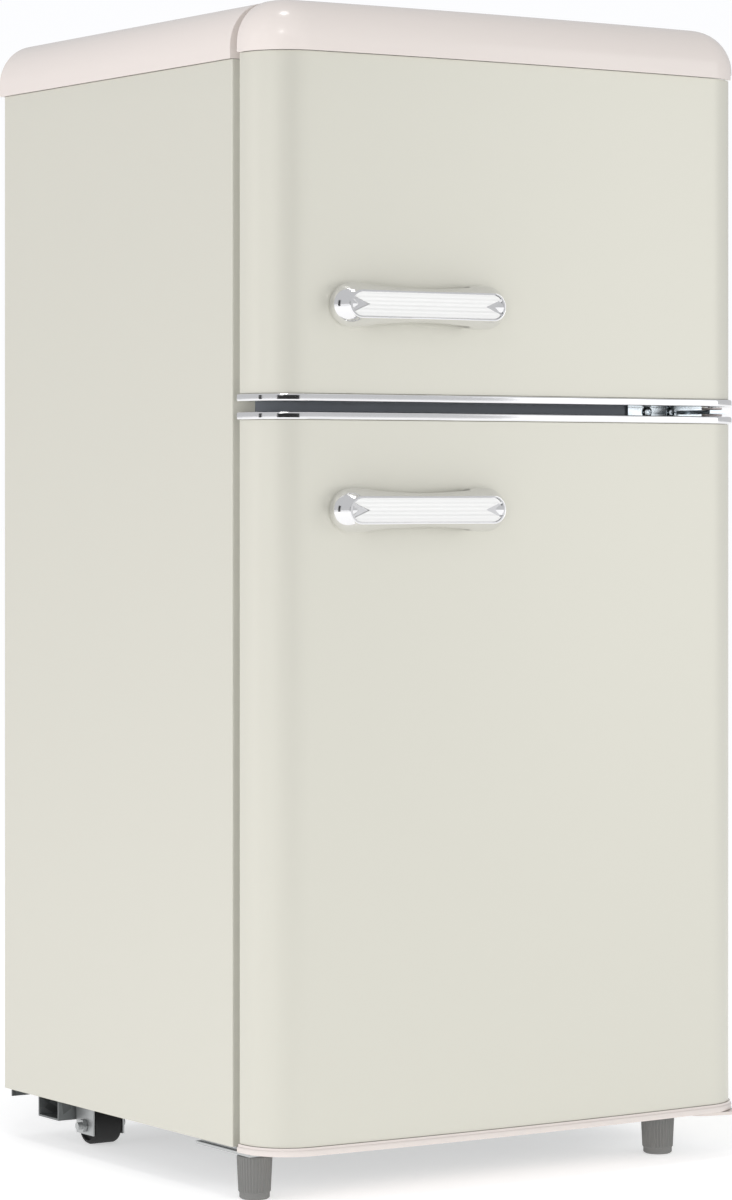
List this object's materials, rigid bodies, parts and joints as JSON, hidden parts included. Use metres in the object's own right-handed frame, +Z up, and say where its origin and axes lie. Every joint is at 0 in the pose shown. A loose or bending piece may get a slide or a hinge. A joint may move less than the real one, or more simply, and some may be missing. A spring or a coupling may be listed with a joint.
{
  "type": "mini fridge",
  "caption": "Retro mini fridge with a freezer door above a fridge door, rounded pale caps, chrome trims and handles, front feet and rear rollers.",
  "frame": {"origin": "on the floor, under the centre of the whole object's box", "axes": "+Z up; the doors and handles face -Y; +X is the hinge side, on the right seen from the front"},
  "size_m": [0.445, 0.435, 0.8792],
  "materials": {
    "cream_steel": "satin",
    "ivory_plastic": "gloss",
    "chrome": "polished",
    "handle_insert": "gloss",
    "grey_rail": "satin",
    "galvanised_steel": "satin",
    "white_plastic": "satin",
    "foam": "matte",
    "gasket": "matte",
    "glass": "polished",
    "clear_plastic": "polished",
    "black_steel": "satin",
    "black_rubber": "matte",
    "copper": "satin",
    "aluminium": "satin",
    "grey_plastic": "matte"
  },
  "bodies": {
    "cabinet": {"back_panel": "galvanised_steel", "base_panel": "galvanised_steel", "cabinet_foam": "foam", "compressor": "black_steel", "compressor_tray": "galvanised_steel", "condenser_coil": "copper", "cord_gland": "grey_plastic", "crisper_cover": "glass", "drip_pan": "white_plastic", "filter_drier": "copper", "freezer_evaporator": "aluminium", "freezer_liner": "white_plastic", "fridge_liner": "white_plastic", "lamp_lens": "clear_plastic", "left_foot_bracket": "galvanised_steel", "left_roller_axle": "galvanised_steel", "left_roller_bracket": "galvanised_steel", "left_side_panel": "cream_steel", "lower_hinge": "galvanised_steel", "lower_shelf": "glass", "middle_hinge": "galvanised_steel", "middle_hinge_screw_left": "galvanised_steel", "middle_hinge_screw_right": "galvanised_steel", "mullion_rail": "grey_rail", "rear_crossmember": "galvanised_steel", "refrigerant_pipe": "copper", "right_roller_axle": "galvanised_steel", "right_roller_bracket": "galvanised_steel", "right_side_panel": "cream_steel", "roof_panel": "galvanised_steel", "thermostat_housing": "white_plastic", "top_cap": "ivory_plastic", "top_hinge": "galvanised_steel", "upper_shelf": "glass"},
    "freezer_door": {"freezer_door_cap": "ivory_plastic", "freezer_door_chrome_trim": "chrome", "freezer_door_foam": "foam", "freezer_door_gasket": "gasket", "freezer_door_liner": "white_plastic", "freezer_door_rack": "clear_plastic", "freezer_door_skin": "cream_steel", "freezer_handle": "chrome", "freezer_handle_insert": "handle_insert"},
    "fridge_door": {"fridge_door_bottle_rack": "clear_plastic", "fridge_door_bottom_trim": "ivory_plastic", "fridge_door_chrome_trim": "chrome", "fridge_door_foam": "foam", "fridge_door_gasket": "gasket", "fridge_door_liner": "white_plastic", "fridge_door_skin": "cream_steel", "fridge_door_upper_rack": "clear_plastic", "fridge_handle": "chrome", "fridge_handle_insert": "handle_insert"},
    "crisper_drawer": {"crisper_drawer": "clear_plastic"},
    "thermostat_knob": {"thermostat_knob": "white_plastic"},
    "light_switch_plunger": {"light_switch_plunger": "white_plastic"},
    "left_foot": {"left_foot": "grey_plastic"},
    "right_foot": {"right_foot": "grey_plastic"},
    "left_roller": {"left_roller": "black_rubber"},
    "right_roller": {"right_roller": "black_rubber"}
  },
  "joints": [
    {"name": "freezer_door_hinge", "type": "hinge", "parent": "cabinet", "child": "freezer_door", "pos_m": [0.202, -0.16901, 0.728], "axis": [0, 0, 1], "range_deg": [0, 120]},
    {"name": "fridge_door_hinge", "type": "hinge", "parent": "cabinet", "child": "fridge_door", "pos_m": [0.202, -0.16901, 0.308], "axis": [0, 0, 1], "range_deg": [0, 120]},
    {"name": "crisper_drawer_slide", "type": "slide", "parent": "cabinet", "child": "crisper_drawer", "axis": [0, -1, 0], "range_m": [0, 0.12]},
    {"name": "thermostat_knob_turn", "type": "hinge", "parent": "cabinet", "child": "thermostat_knob", "pos_m": [0.132, -0.06161, 0.5355], "axis": [0, -1, 0], "range_deg": [0, 300]},
    {"name": "light_switch_press", "type": "slide", "parent": "cabinet", "child": "light_switch_plunger", "axis": [0, 1, 0], "range_m": [0, 0.005], "stiffness_N_per_m": 120},
    {"name": "left_foot_screw", "type": "slide", "parent": "cabinet", "child": "left_foot", "axis": [0, 0, -1], "range_m": [0, 0.008]},
    {"name": "right_foot_screw", "type": "slide", "parent": "cabinet", "child": "right_foot", "axis": [0, 0, -1], "range_m": [0, 0.008]},
    {"name": "left_roller_spin", "type": "hinge", "parent": "cabinet", "child": "left_roller", "pos_m": [-0.175, 0.13599, 0.015], "axis": [1, 0, 0], "continuous": true},
    {"name": "right_roller_spin", "type": "hinge", "parent": "cabinet", "child": "right_roller", "pos_m": [0.175, 0.13599, 0.015], "axis": [1, 0, 0], "continuous": true}
  ],
  "couplings": [
    {"joint": "crisper_drawer_slide", "follows": "fridge_door_hinge", "m_per_rad": 0.057}
  ]
}
